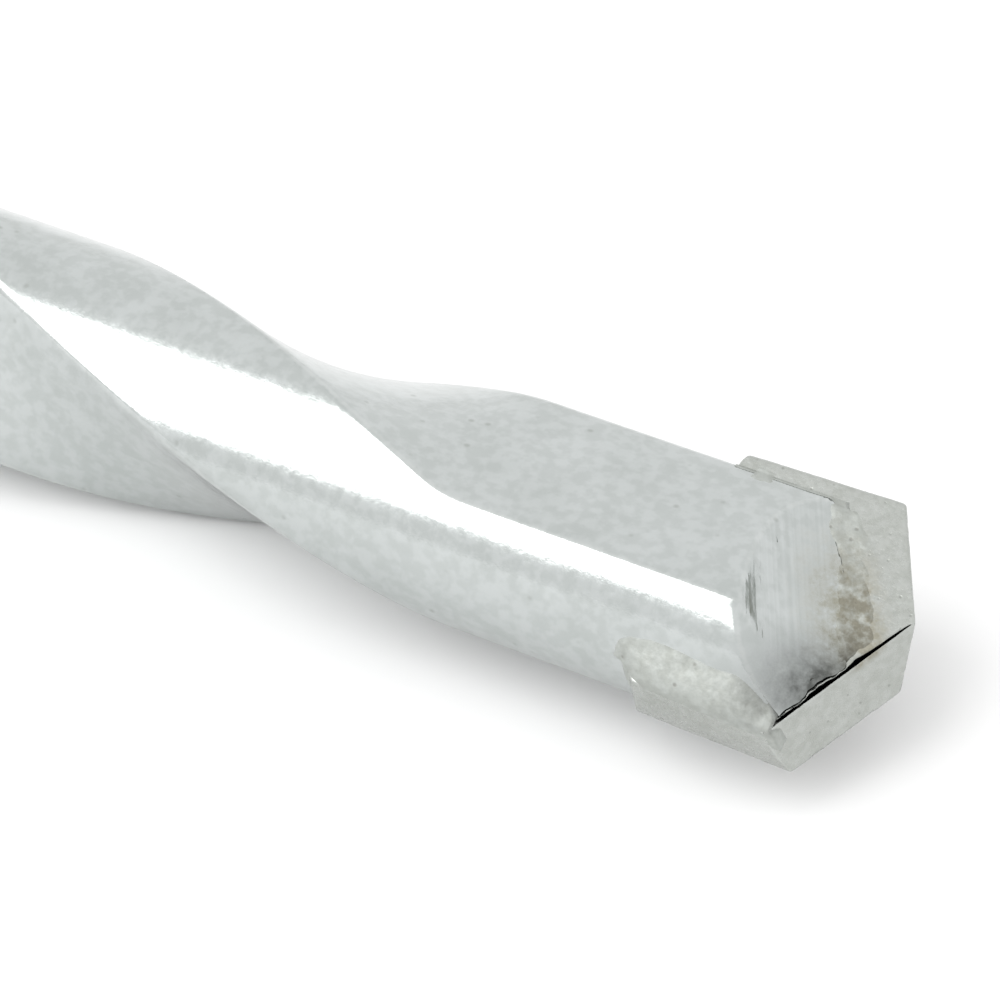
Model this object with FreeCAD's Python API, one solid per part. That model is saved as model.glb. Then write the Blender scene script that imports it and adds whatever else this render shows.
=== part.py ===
"""Masonry drill bit: a twisted steel body with a hard tip plate brazed across its head.

The drill's axis is X, with the tip at +X, and +Z is up. The drill lies on its side, as it comes
to rest. The origin is on the axis, at the middle of the plain shank that a chuck holds.
Lengths are in millimetres and angles in degrees.
"""
import FreeCAD
import Part

import math
import os

Vec = FreeCAD.Vector

# Sizes of the whole drill
OVERALL_LENGTH = 120.0        # shank end to chisel edge
TIP_DIAMETER = 10.0           # the hole that the drill makes
BODY_DIAMETER = 8.7           # over the lands
SHANK_DIAMETER = 9.0
SHANK_LENGTH = 40.0           # back end to the shoulder
SHANK_CHAMFER = 0.8
SHOULDER_LENGTH = 2.0         # cone between the shank and the body

# Flutes: two broad faces that leave a flat core between two lands
CORE_THICKNESS = 5.4          # across the edges of the two faces
FLUTE_CROWN = 0.2             # how far the middle of each face stands proud
FLUTE_LEAD = 66.0             # axial length of one full turn
STRAIGHT_HEAD_LENGTH = 14.9   # from the chisel edge back to the first twist
TWIST_START_LENGTH = 1.8      # over which the twist sets in
FLUTE_RUNOUT_LENGTH = 12.0    # over which each face rises to the shank
FLUTE_STATION_SPACING = 2.5   # between the sections of a twisted face

# Tip plate, set across the head
PLATE_THICKNESS = 2.15
PLATE_LENGTH = 8.0            # chisel edge to back edge
PLATE_BACK_TAPER = 0.15       # loss of radius from the lips to the back edge
PLATE_CORNER_RADIUS = 0.7
PLATE_ROLL = 16.7             # about the axis from level, as the drill lies
POINT_ANGLE = 126.0
LIP_RELIEF_ANGLE = 20.0       # fall of each flank from its lip to its heel

# Seat of the plate, and the steel ground away around it
BRAZE_FILM = 0.08             # on each face of the plate
BRAZE_RECESS = 0.35           # depth of the open seam in front of the braze
BRAZE_FILLET_WIDTH = 1.1      # of the braze that eases each step from land to plate
BRAZE_FILLET_DROP = 0.12      # of its edge below the corner of the plate
STEEL_SETBACK = 0.06          # of the steel behind the heel of the plate
STEEL_BEVEL_ANGLE = 51.0      # of the steel's end, back from the plate
RAKE_FACE_DEPTH = 1.6         # of the plate's face that the gash lays bare
GASH_RADIUS = 5.0             # of the grinding wheel's hollow

# Margins of the cutting tools past the steel
CUT_MARGIN = 4.0

body_radius = BODY_DIAMETER / 2
shank_radius = SHANK_DIAMETER / 2
tip_radius = TIP_DIAMETER / 2
plate_half = PLATE_THICKNESS / 2
core_half = CORE_THICKNESS / 2

shank_end_x = -SHANK_LENGTH / 2
shank_front_x = SHANK_LENGTH / 2
body_back_x = shank_front_x + SHOULDER_LENGTH
chisel_x = shank_end_x + OVERALL_LENGTH
plate_back_x = chisel_x - PLATE_LENGTH
twist_x = chisel_x - STRAIGHT_HEAD_LENGTH

lip_slope = 1 / math.tan(math.radians(POINT_ANGLE / 2))
relief_slope = math.tan(math.radians(LIP_RELIEF_ANGLE))
bevel_slope = math.tan(math.radians(STEEL_BEVEL_ANGLE))
apex_x = chisel_x + relief_slope * plate_half

# The leading face of the plate lies in line with the edge of the flute in front of it
flute_edge_angle = math.degrees(math.acos(core_half / body_radius))
rake_edge_angle = math.degrees(math.asin(plate_half / body_radius))
flute_normal_angle = PLATE_ROLL + rake_edge_angle + flute_edge_angle


def direction(angle):
    """Unit vector square to the axis, at an angle from +Y towards +Z."""
    return Vec(0, math.cos(math.radians(angle)), math.sin(math.radians(angle)))


def plate_point(x, across, forward):
    """Point in the plate's own frame: along the axis, across its width, and off its mid plane."""
    return Vec(x, 0, 0) + direction(PLATE_ROLL) * across + direction(PLATE_ROLL + 90) * forward


def polygon_face(points):
    """Flat face inside a closed outline of straight edges."""
    return Part.Face(Part.makePolygon(points + points[:1]))


def half_turn(shape):
    """Copy of a shape, turned half round the axis to the other side of the drill."""
    turned = shape.copy()
    turned.rotate(Vec(0, 0, 0), Vec(1, 0, 0), 180)
    return turned


def revolved(profile):
    """Solid of revolution about the axis from (x, radius) points, closed along the axis."""
    first, last = profile[0][0], profile[-1][0]
    points = [Vec(first, 0, 0)] + [Vec(x, radius, 0) for x, radius in profile] + [Vec(last, 0, 0)]
    return polygon_face(points).revolve(Vec(0, 0, 0), Vec(1, 0, 0), 360)


def make_blank():
    """Turned bar: a chamfered plain shank and the round body in front of it."""
    return revolved([
        (shank_end_x, shank_radius - SHANK_CHAMFER),
        (shank_end_x + SHANK_CHAMFER, shank_radius),
        (shank_front_x, shank_radius),
        (body_back_x, body_radius),
        (chisel_x, body_radius),
    ])


def twist_angle(x):
    """Turn of the section at x, behind the straight head."""
    back = max(twist_x - x, 0.0)
    rate = 360 / FLUTE_LEAD
    if back < TWIST_START_LENGTH:
        return rate * back * back / (2 * TWIST_START_LENGTH)
    return rate * (back - TWIST_START_LENGTH / 2)


def flute_rise(x):
    """How far the face stands out of its full depth at x, where the flute runs out."""
    share = (body_back_x + FLUTE_RUNOUT_LENGTH - x) / FLUTE_RUNOUT_LENGTH
    share = min(max(share, 0.0), 1.0)
    return (body_radius - core_half) * share * share


def flute_section(x):
    """Outline that is cut away at x: the crowned face below, and clear air above it."""
    normal = direction(flute_normal_angle - twist_angle(x))
    along = Vec(1, 0, 0).cross(normal)
    floor = core_half + flute_rise(x)
    edge_half = math.sqrt(body_radius ** 2 - core_half ** 2)
    # The crowned face is one arc through both edges and the crown, carried on past the edges
    crown_radius = (edge_half ** 2 + FLUTE_CROWN ** 2) / (2 * FLUTE_CROWN)
    half_width = body_radius + CUT_MARGIN / 2
    drop = crown_radius - math.sqrt(crown_radius ** 2 - half_width ** 2)
    middle = floor + FLUTE_CROWN
    top = body_radius + CUT_MARGIN
    start = Vec(x, 0, 0)
    left = start + normal * (middle - drop) - along * half_width
    right = start + normal * (middle - drop) + along * half_width
    right_top = start + normal * top + along * half_width
    left_top = start + normal * top - along * half_width
    return Part.Wire([
        Part.Arc(left, start + normal * middle, right).toShape(),
        Part.LineSegment(right, right_top).toShape(),
        Part.LineSegment(right_top, left_top).toShape(),
        Part.LineSegment(left_top, left).toShape(),
    ])


def make_flute_cutter():
    """Tool that cuts one flute: straight along the head, then twisted back to the shank."""
    straight_length = chisel_x + CUT_MARGIN - twist_x
    straight = Part.Face(flute_section(twist_x)).extrude(Vec(straight_length, 0, 0))
    steps = math.ceil((twist_x - body_back_x) / FLUTE_STATION_SPACING)
    spacing = (twist_x - body_back_x) / steps
    sections = [flute_section(twist_x - spacing * i) for i in range(steps + 1)]
    twisted = Part.makeLoft(sections, True, False)
    return straight.fuse(twisted)


def make_gash_cutter():
    """Grinding wheel's path in front of the plate: a flat along its face, then a hollow rise."""
    root_x = apex_x - RAKE_FACE_DEPTH * math.hypot(1, lip_slope)
    reach = TIP_DIAMETER
    top = plate_half + reach
    hollow_back = root_x - GASH_RADIUS
    hollow_mid = GASH_RADIUS * math.sin(math.radians(45))
    hollow = Part.Arc(
        plate_point(hollow_back, 0, plate_half + GASH_RADIUS),
        plate_point(root_x - hollow_mid, 0, plate_half + GASH_RADIUS - hollow_mid),
        plate_point(root_x, 0, plate_half),
    ).toShape()
    outline = Part.makePolygon([
        plate_point(root_x, 0, plate_half),
        plate_point(root_x + reach, 0, plate_half),
        plate_point(root_x + reach, 0, top),
        plate_point(hollow_back, 0, top),
        plate_point(hollow_back, 0, plate_half + GASH_RADIUS),
    ])
    # The wheel travels along the lip, so its path falls away from the axis as the lip does
    travel = plate_point(-lip_slope * reach, reach, 0)
    face = Part.Face(Part.Wire(outline.Edges + [hollow]))
    face.translate(travel * -1)
    return face.extrude(travel * 2)


def make_bevel_cutter(setback):
    """Tool that grinds the steel's end back from the heel of the plate."""
    heel_x = apex_x - relief_slope * PLATE_THICKNESS - setback
    reach = TIP_DIAMETER
    face = polygon_face([
        plate_point(heel_x + bevel_slope * plate_half, 0, 0),
        plate_point(heel_x + reach, 0, 0),
        plate_point(heel_x + reach, 0, reach),
        plate_point(heel_x - bevel_slope * (reach - plate_half), 0, reach),
    ])
    travel = plate_point(lip_slope * reach, reach, 0)
    face.translate(travel * -1)
    return face.extrude(travel * 2)


def make_slot_cutter():
    """Slot across the head: the plate's thickness and length, with a film of braze all round."""
    half = plate_half + BRAZE_FILM
    back = plate_back_x - BRAZE_FILM
    face = polygon_face([
        plate_point(back, -tip_radius, -half),
        plate_point(back, tip_radius, -half),
        plate_point(back, tip_radius, half),
        plate_point(back, -tip_radius, half),
    ])
    return face.extrude(Vec(chisel_x + CUT_MARGIN - back, 0, 0))


def make_ground_body():
    """Body before its slot is cut: flutes, both gashes and both bevels are ground."""
    flute, gash, bevel = make_flute_cutter(), make_gash_cutter(), make_bevel_cutter(STEEL_SETBACK)
    body = make_blank()
    for cutter in (flute, gash, bevel):
        body = body.cut(cutter).cut(half_turn(cutter))
    return body


def make_flank_cutter(drop=0.0):
    """Half space in front of one flank, which falls from its lip to its heel."""
    reach = TIP_DIAMETER
    lip_x = apex_x + relief_slope * (reach - plate_half) - drop
    heel_x = apex_x - relief_slope * (reach + plate_half) - drop
    face = polygon_face([
        plate_point(lip_x, 0, -reach),
        plate_point(heel_x, 0, reach),
        plate_point(lip_x + reach, 0, reach),
        plate_point(lip_x + reach, 0, -reach),
    ])
    travel = plate_point(-lip_slope * reach, -reach, 0)
    face.translate(travel * -1)
    return face.extrude(travel * 2)


def make_plate():
    """Hard tip plate: rounded back corners, tapered ground sides, two flanks and a chisel edge."""
    back, front = plate_back_x, apex_x
    blank = polygon_face([
        plate_point(back, -tip_radius, -plate_half),
        plate_point(back, tip_radius, -plate_half),
        plate_point(front, tip_radius, -plate_half),
        plate_point(front, -tip_radius, -plate_half),
    ]).extrude(direction(PLATE_ROLL + 90) * PLATE_THICKNESS)
    back_corners = [edge for edge in blank.Edges
                    if abs(edge.CenterOfMass.x - back) < 1e-6 and edge.Length < PLATE_THICKNESS * 1.01]
    blank = blank.makeFillet(PLATE_CORNER_RADIUS, back_corners)
    lip_corner = apex_x - lip_slope * tip_radius
    sides = revolved([
        (back, tip_radius - PLATE_BACK_TAPER), (lip_corner, tip_radius), (front, tip_radius),
    ])
    plate = blank.common(sides)
    flank = make_flank_cutter()
    return plate.cut(flank.fuse(half_turn(flank)))


def make_braze_fillet():
    """Ramp of braze from the land up to the plate, on the side behind its lower cutting end."""
    corner = tip_radius - PLATE_BACK_TAPER - BRAZE_FILLET_DROP
    foot = plate_half + BRAZE_FILLET_WIDTH
    inside = body_radius - BRAZE_FILLET_WIDTH
    back = plate_back_x + PLATE_CORNER_RADIUS
    face = polygon_face([
        plate_point(back, -inside, plate_half),
        plate_point(back, -math.sqrt(corner ** 2 - plate_half ** 2), plate_half),
        plate_point(back, -math.sqrt(body_radius ** 2 - foot ** 2), foot),
    ])
    return face.extrude(Vec(chisel_x - back, 0, 0))


def make_braze(ground_body, plate):
    """Braze on both faces and the back of the plate, short of the seam's mouth, and its fillets."""
    film, fillet = make_slot_cutter(), make_braze_fillet()
    fillets = fillet.fuse(half_turn(fillet))
    mouth_depth = STEEL_SETBACK + BRAZE_RECESS
    for cutter in (make_bevel_cutter(mouth_depth), make_flank_cutter(mouth_depth)):
        film = film.cut(cutter).cut(half_turn(cutter))
        fillets = fillets.cut(cutter).cut(half_turn(cutter))
    return film.cut(plate).common(ground_body).fuse(fillets.cut(ground_body))


def write_part(name, shape):
    """Write one piece to its STEP file."""
    shape.exportStep(os.path.join("parts", name + ".step"))


def main():
    """Build the three pieces and write them."""
    os.makedirs("parts", exist_ok=True)
    ground_body = make_ground_body()
    plate = make_plate()
    write_part("steel_body", ground_body.cut(make_slot_cutter()))
    write_part("carbide_tip", plate)
    write_part("braze_film", make_braze(ground_body, plate))


main()
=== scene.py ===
"""Studio scene of a masonry drill bit: a twisted blasted-steel body with a hard tip plate.

The drill lies along X on a plain pale floor, with its tip at +X. Lengths are in metres.
"""
import logging
import math
from dataclasses import dataclass, field
from enum import Enum
from typing import Callable, Sequence

import bmesh
import bpy
import numpy as np
from mathutils import Matrix, Vector, kdtree, noise


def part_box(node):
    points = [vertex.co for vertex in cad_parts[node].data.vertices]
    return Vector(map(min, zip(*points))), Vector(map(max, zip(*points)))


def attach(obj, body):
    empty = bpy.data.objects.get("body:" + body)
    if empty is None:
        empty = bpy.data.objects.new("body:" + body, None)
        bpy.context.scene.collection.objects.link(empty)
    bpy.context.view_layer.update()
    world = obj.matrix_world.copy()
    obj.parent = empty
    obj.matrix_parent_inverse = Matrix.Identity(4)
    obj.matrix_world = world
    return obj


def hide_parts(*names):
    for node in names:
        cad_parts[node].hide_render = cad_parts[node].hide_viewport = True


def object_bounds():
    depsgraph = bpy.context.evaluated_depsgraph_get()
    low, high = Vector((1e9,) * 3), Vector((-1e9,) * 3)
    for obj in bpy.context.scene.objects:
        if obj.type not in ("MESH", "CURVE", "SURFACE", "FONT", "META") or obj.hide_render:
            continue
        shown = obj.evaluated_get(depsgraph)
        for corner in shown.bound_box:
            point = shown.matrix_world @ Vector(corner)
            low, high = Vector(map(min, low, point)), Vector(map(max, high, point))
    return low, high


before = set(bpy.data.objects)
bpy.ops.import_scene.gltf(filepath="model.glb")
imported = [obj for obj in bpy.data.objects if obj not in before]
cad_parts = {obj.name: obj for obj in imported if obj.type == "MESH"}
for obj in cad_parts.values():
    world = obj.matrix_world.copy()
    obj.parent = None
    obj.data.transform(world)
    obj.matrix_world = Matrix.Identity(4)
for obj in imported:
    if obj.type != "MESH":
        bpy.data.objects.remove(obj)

LOG = logging.getLogger("drill_bit")
MM = 0.001
CAD_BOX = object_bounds()

STEEL_NODE = "steel_body"
PLATE_NODE = "carbide_tip"
BRAZE_NODE = "braze_film"


class Attribute(Enum):
    """Names of the values that a mesh carries at each vertex for its material."""

    STAIN = "stain"
    # Soot with painted shade beside the open crevice
    SOOT_AND_SHADE = "soot_and_shade"
    EDGE = "edge"
    MARKS = "marks"
    ALONG = "along"
    # Faces of the crevice walls, painted near black as shade
    CREVICE_SHADE = "crevice"


class Wiring:
    """Adds nodes to one tree and links them."""

    def __init__(self, tree: bpy.types.NodeTree) -> None:
        """Keep the tree.

        Args:
            tree: The node tree that the nodes are added to.
        """
        self.tree = tree

    def node(self, kind: str, **settings: object) -> bpy.types.Node:
        """Add one node.

        Args:
            kind: Blender's name of the node type.
            **settings: Properties to set on the node.

        Returns:
            The new node.
        """
        made = self.tree.nodes.new(kind)
        for name, value in settings.items():
            setattr(made, name, value)
        return made

    def put(self, socket: bpy.types.NodeSocket, value: object) -> None:
        """Link a socket to another, or set its own value.

        Args:
            socket: The input socket.
            value: An output socket, or a plain value.
        """
        if isinstance(value, bpy.types.NodeSocket):
            self.tree.links.new(value, socket)
        else:
            socket.default_value = value

    def math(self, operation: str, *values: object) -> bpy.types.NodeSocket:
        """Add a Math node.

        Args:
            operation: The operation, such as ADD.
            *values: Its inputs, as sockets or numbers.

        Returns:
            The result.
        """
        made = self.node("ShaderNodeMath", operation=operation)
        for socket, value in zip(made.inputs, values):
            self.put(socket, value)
        return made.outputs[0]

    def ramp(self, value: object, low: object, high: object, to_low: object = 0.0,
             to_high: object = 1.0, smooth: bool = False) -> bpy.types.NodeSocket:
        """Map a value from one range to another, held at the ends.

        Args:
            value: The value to map.
            low: Where the source range starts.
            high: Where it ends.
            to_low: The result at the start.
            to_high: The result at the end.
            smooth: True for a soft start and end.

        Returns:
            The mapped value.
        """
        made = self.node("ShaderNodeMapRange", clamp=True)
        if smooth:
            made.interpolation_type = "SMOOTHSTEP"
        for socket, given in zip(made.inputs, (value, low, high, to_low, to_high)):
            self.put(socket, given)
        return made.outputs[0]

    def mix(self, share: object, first: object, second: object) -> bpy.types.NodeSocket:
        """Mix two colours.

        Args:
            share: How much of the second one shows.
            first: The first colour.
            second: The second colour.

        Returns:
            The mixed colour.
        """
        made = self.node("ShaderNodeMix", data_type="RGBA", blend_type="MIX")
        for index, value in ((0, share), (6, first), (7, second)):
            self.put(made.inputs[index], value)
        return made.outputs[2]

    def noise(self, vector: object, scale: object, detail: float = 3.0,
              roughness: float = 0.55) -> bpy.types.NodeSocket:
        """Add a noise texture.

        Args:
            vector: The coordinates, in millimetres.
            scale: Features for each millimetre.
            detail: How many octaves it has.
            roughness: How strong the fine octaves are.

        Returns:
            The noise, from about 0.3 to 0.7.
        """
        made = self.node("ShaderNodeTexNoise")
        self.put(made.inputs["Vector"], vector)
        self.put(made.inputs["Scale"], scale)
        made.inputs["Detail"].default_value = detail
        made.inputs["Roughness"].default_value = roughness
        return made.outputs["Fac"]

    def attribute(self, name: Attribute) -> bpy.types.NodeSocket:
        """Read one of the mesh's own values.

        Args:
            name: Which value.

        Returns:
            The value as a number.
        """
        return self.node("ShaderNodeAttribute", attribute_name=name.value).outputs["Fac"]

    def millimetres(self) -> bpy.types.NodeSocket:
        """Place on the piece, in millimetres."""
        place = self.node("ShaderNodeTexCoord").outputs["Object"]
        scaled = self.node("ShaderNodeVectorMath", operation="SCALE")
        self.put(scaled.inputs[0], place)
        scaled.inputs["Scale"].default_value = 1 / MM
        return scaled.outputs[0]


@dataclass
class DrillForm:
    """Sizes that the drill's pieces share, and the frame of its tip plate."""

    tip_radius: float = 5.0 * MM
    body_radius: float = 4.35 * MM
    shank_radius: float = 4.5 * MM
    shank_length: float = 40.0 * MM
    shoulder_length: float = 2.0 * MM
    straight_head: float = 14.9 * MM
    plate_half: float = 1.075 * MM
    plate_roll: float = math.radians(16.7)
    lip_slope: float = 1 / math.tan(math.radians(63.0))
    relief_slope: float = math.tan(math.radians(20.0))
    rake_depth: float = 1.6 * MM
    gash_radius: float = 5.0 * MM
    core_half: float = 2.7 * MM
    crown: float = 0.2 * MM
    bevel_slope: float = math.tan(math.radians(51.0))
    back_taper: float = 0.15 * MM
    back_x: float = field(init=False)
    plate_back_x: float = field(init=False)
    chisel_x: float = field(init=False)
    apex_x: float = field(init=False)

    def __post_init__(self) -> None:
        """Take the ends of the drill from the frame."""
        steel_low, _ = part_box(STEEL_NODE)
        plate_low, plate_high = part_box(PLATE_NODE)
        self.back_x = steel_low.x
        self.plate_back_x = plate_low.x
        self.chisel_x = plate_high.x
        self.apex_x = self.chisel_x + self.relief_slope * self.plate_half

    @property
    def body_back_x(self) -> float:
        """Place along the axis where the fluted body starts."""
        return self.back_x + self.shank_length + self.shoulder_length

    @property
    def head_x(self) -> float:
        """Place along the axis where the straight head starts."""
        return self.chisel_x - self.straight_head

    def direction(self, angle: float) -> Vector:
        """Unit vector square to the axis, at an angle from +Y towards +Z."""
        return Vector((0.0, math.cos(angle), math.sin(angle)))

    @property
    def flute_edge(self) -> float:
        """Angle from the middle of a flute to its edge."""
        return math.acos(self.core_half / self.body_radius)

    @property
    def flute_angle(self) -> float:
        """Direction that the upper flute faces at the head, from +Y towards +Z."""
        return self.plate_roll + math.asin(self.plate_half / self.body_radius) + self.flute_edge

    @property
    def across(self) -> Vector:
        """The direction across the plate's width."""
        return self.direction(self.plate_roll)

    @property
    def forward(self) -> Vector:
        """The direction off the plate's mid plane, towards its upper face."""
        return self.direction(self.plate_roll + math.pi / 2)

    def point(self, x: float, across: float, forward: float) -> Vector:
        """Point in the plate's own frame.

        Args:
            x: Place along the axis.
            across: Place across the width.
            forward: Height off the mid plane.

        Returns:
            The point.
        """
        return Vector((x, 0.0, 0.0)) + self.across * across + self.forward * forward

    def in_plate_frame(self, points: np.ndarray) -> np.ndarray:
        """Turn points to the plate's frame.

        Args:
            points: Rows of x, y and z.

        Returns:
            Rows of x, across and forward.
        """
        axes = np.array([(1.0, 0.0, 0.0), self.across[:], self.forward[:]])
        return points @ axes.T

    def heat_marks(self, local: np.ndarray) -> tuple[np.ndarray, np.ndarray]:
        """Where brazing left the head brown, and where it is painted black beside the open crevice,
        partly as soot and partly as painted shade.

        Args:
            local: Rows of x, across and forward.

        Returns:
            How brown and how black (soot and painted shade) each point is.
        """
        brown_reach, brown_middle, brown_width = 2.1 * MM, -0.2 * MM, 2.7 * MM
        black_reach, black_middle, black_width = 2.2 * MM, -2.65 * MM, 1.75 * MM
        stain, soot_and_shade = np.zeros(len(local)), np.zeros(len(local))
        for side in (1, -1):
            across, off_plate = local[:, 1] * side, local[:, 2] * side - self.plate_half
            upper = np.clip(off_plate / (0.2 * MM) + 1.5, 0.0, 1.0)
            root = self.root_x(across)
            brown = bell(np.hypot(local[:, 0] - root, off_plate), brown_reach)
            stain = np.maximum(stain, brown * bell(across - brown_middle, brown_width) * upper)
            # Black beside the open crevice: partly soot, partly painted shade that darkens the recess
            behind = self.heel_x(across) - local[:, 0]
            black = bell(np.hypot(behind, off_plate), black_reach)
            soot_and_shade = np.maximum(soot_and_shade, black * bell(across - black_middle, black_width) * upper)
        return stain, soot_and_shade

    def half_turn(self) -> Matrix:
        """Half a turn about the drill's axis."""
        return Matrix.Rotation(math.pi, 4, "X")

    def side_share(self, x: float) -> float:
        """How far a place lies along the plate's side: 0 at its back, 1 at the lip's corner."""
        lip_corner = self.apex_x - self.lip_slope * self.tip_radius
        return min(1.0, (x - self.plate_back_x) / (lip_corner - self.plate_back_x))

    def root_x(self, across: float | np.ndarray) -> float | np.ndarray:
        """Place along the axis of the gash's root, at a place across the plate."""
        return self.apex_x - self.rake_depth * math.hypot(1, self.lip_slope) - self.lip_slope * across

    def heel_x(self, across: float | np.ndarray) -> float | np.ndarray:
        """Place along the axis of the plate's heel edge, at a place across the plate."""
        return self.apex_x - self.relief_slope * 2 * self.plate_half + self.lip_slope * across


def new_object(name: str, mesh: bpy.types.Mesh) -> bpy.types.Object:
    """Link a new object that holds a mesh.

    Args:
        name: The object's name.
        mesh: Its mesh.

    Returns:
        The object.
    """
    made = bpy.data.objects.new(name, mesh)
    bpy.context.scene.collection.objects.link(made)
    return made


def mesh_from(bm: bmesh.types.BMesh, name: str) -> bpy.types.Mesh:
    """Turn a bmesh into a mesh with smooth faces, and free it.

    Args:
        bm: The bmesh.
        name: The mesh's name.

    Returns:
        The mesh.
    """
    for face in bm.faces:
        face.smooth = True
    made = bpy.data.meshes.new(name)
    bm.to_mesh(made)
    bm.free()
    return made


def prism(outline: Sequence[Vector], travel: Vector) -> bmesh.types.BMesh:
    """Closed solid that a flat outline sweeps along a straight path.

    Args:
        outline: The corners, in order.
        travel: The path from the first face to the last.

    Returns:
        The solid.
    """
    bm = bmesh.new()
    first = [bm.verts.new(point) for point in outline]
    last = [bm.verts.new(point + travel) for point in outline]
    bm.faces.new(first)
    bm.faces.new(reversed(last))
    count = len(outline)
    for index in range(count):
        after = (index + 1) % count
        bm.faces.new((first[index], last[index], last[after], first[after]))
    bmesh.ops.recalc_face_normals(bm, faces=bm.faces)
    return bm


def close_rings(bm: bmesh.types.BMesh, rings: Sequence[Sequence[bmesh.types.BMVert]]) -> None:
    """Join rings of vertices into a closed tube.

    Args:
        bm: The bmesh that holds the vertices.
        rings: The rings, each with as many vertices.
    """
    for ring, after in zip(rings, rings[1:]):
        for index in range(len(ring)):
            nxt = (index + 1) % len(ring)
            bm.faces.new((ring[index], ring[nxt], after[nxt], after[index]))
    bm.faces.new(rings[0][::-1])
    bm.faces.new(rings[-1])


def sharp_edges(bm: bmesh.types.BMesh, angle: float) -> list[tuple[Vector, Vector]]:
    """Ends of each sharp edge.

    Args:
        bm: The solid.
        angle: The turn between two faces that counts as sharp.

    Returns:
        A pair of points for each edge.
    """
    return [(edge.verts[0].co.copy(), edge.verts[1].co.copy()) for edge in bm.edges
            if len(edge.link_faces) == 2 and edge.calc_face_angle() > angle]


def points_along(edges: Sequence[tuple[Vector, Vector]], spacing: float) -> kdtree.KDTree:
    """Points along edges, for finding what lies near one.

    Args:
        edges: The ends of each edge.
        spacing: The distance between points.

    Returns:
        The points in a search tree.
    """
    points = []
    for start, end in edges:
        steps = max(1, math.ceil((end - start).length / spacing))
        points += [start.lerp(end, step / steps) for step in range(steps + 1)]
    tree = kdtree.KDTree(max(1, len(points)))
    for index, point in enumerate(points):
        tree.insert(point, index)
    tree.balance()
    return tree


def refine(bm: bmesh.types.BMesh, longest: Callable[[Vector], float], rounds: int = 9) -> None:
    """Split edges until none is longer than its place allows.

    Args:
        bm: The solid.
        longest: Gives the longest edge that a place allows.
        rounds: The most rounds of splitting.
    """

    def too_long() -> list[bmesh.types.BMEdge]:
        """Edges that are longer than their place allows."""
        return [edge for edge in bm.edges
                if edge.calc_length() > longest((edge.verts[0].co + edge.verts[1].co) / 2)]

    for _ in range(rounds):
        long_edges = too_long()
        if not long_edges:
            return
        touched = list({face for edge in long_edges for face in edge.link_faces
                        if len(face.verts) > 3})
        if touched:
            bmesh.ops.triangulate(bm, faces=touched)
            long_edges = too_long()
        bmesh.ops.subdivide_edges(bm, edges=long_edges, cuts=1)
        many_sided = [face for face in bm.faces if len(face.verts) > 4]
        bmesh.ops.triangulate(bm, faces=many_sided)


def soften(bm: bmesh.types.BMesh, sharp: kdtree.KDTree, reach: float, rounds: int) -> np.ndarray:
    """Round the sharp edges by easing the vertices near them towards their neighbours.

    Args:
        bm: The solid, with short edges near its sharp ones.
        sharp: Points along the sharp edges.
        reach: How far from a sharp edge the rounding starts.
        rounds: How many times the vertices are eased.

    Returns:
        For each vertex, 1 on a sharp edge and 0 beyond the reach.
    """
    bm.verts.ensure_lookup_table()
    bm.verts.index_update()
    co = np.array([vert.co for vert in bm.verts])
    ends = np.array([[vert.index for vert in edge.verts] for edge in bm.edges])
    near = nearness(bm, sharp, reach)
    weight = (near * near * (3 - 2 * near))[:, None] * 0.5
    crevice = bm.faces.layers.float.get(Attribute.CREVICE_SHADE.value)
    if crevice is not None:
        still = {vert.index for face in bm.faces if face[crevice] > 0.5 for vert in face.verts}
        weight[sorted(still)] = 0.0
    counts = np.bincount(ends.ravel(), minlength=len(co))[:, None]
    for _ in range(rounds):
        total = np.zeros_like(co)
        np.add.at(total, ends[:, 0], co[ends[:, 1]])
        np.add.at(total, ends[:, 1], co[ends[:, 0]])
        co += weight * (total / counts - co)
    for vert, place in zip(bm.verts, co):
        vert.co = place
    return near


def paint(mesh: bpy.types.Mesh, name: Attribute, values: np.ndarray) -> None:
    """Store one value for each vertex.

    Args:
        mesh: The mesh.
        name: Which value it is.
        values: One number for each vertex.
    """
    layer = mesh.attributes.new(name.value, "FLOAT", "POINT")
    layer.data.foreach_set("value", values.astype(np.float32))


def places(mesh: bpy.types.Mesh) -> np.ndarray:
    """Rows of x, y and z of a mesh's vertices."""
    co = np.zeros(len(mesh.vertices) * 3, np.float32)
    mesh.vertices.foreach_get("co", co)
    return co.reshape(-1, 3).astype(float)


def bell(distance: np.ndarray, width: float) -> np.ndarray:
    """Soft hump that is 1 at no distance and fades over a width."""
    return np.exp(-((distance / width) ** 2))


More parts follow.
